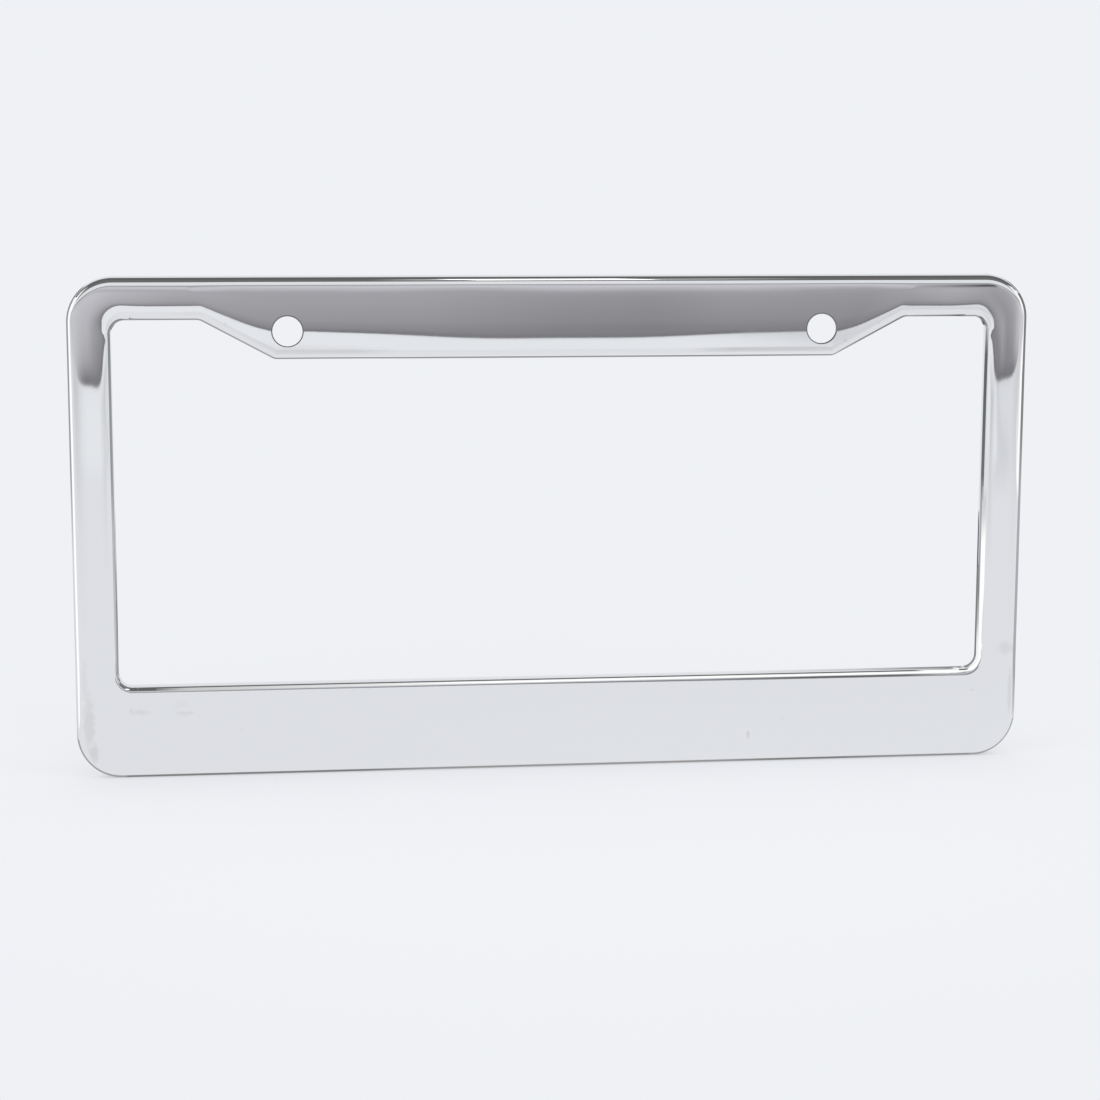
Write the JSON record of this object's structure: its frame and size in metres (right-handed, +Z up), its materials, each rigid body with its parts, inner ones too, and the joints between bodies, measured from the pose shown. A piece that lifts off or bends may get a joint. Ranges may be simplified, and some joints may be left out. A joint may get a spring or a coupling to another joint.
{
  "type": "number plate holder",
  "caption": "Open frame pressed from mirror-polished sheet steel, with turned-back rims, a stepped top bar with screw holes and a deep lower panel, that screws over a vehicle number plate.",
  "frame": {"origin": "midway between the two screw holes, on the front of the sheet", "axes": "+X across the plate, +Y back towards the vehicle, +Z up; the polished face looks along -Y"},
  "size_m": [0.32, 0.0055, 0.166],
  "materials": {
    "polished_steel": "mirror polished on the face and the rims, plain mill finish on the back of the sheet"
  },
  "bodies": {
    "root": {"plate_frame": "polished_steel"}
  },
  "joints": []
}
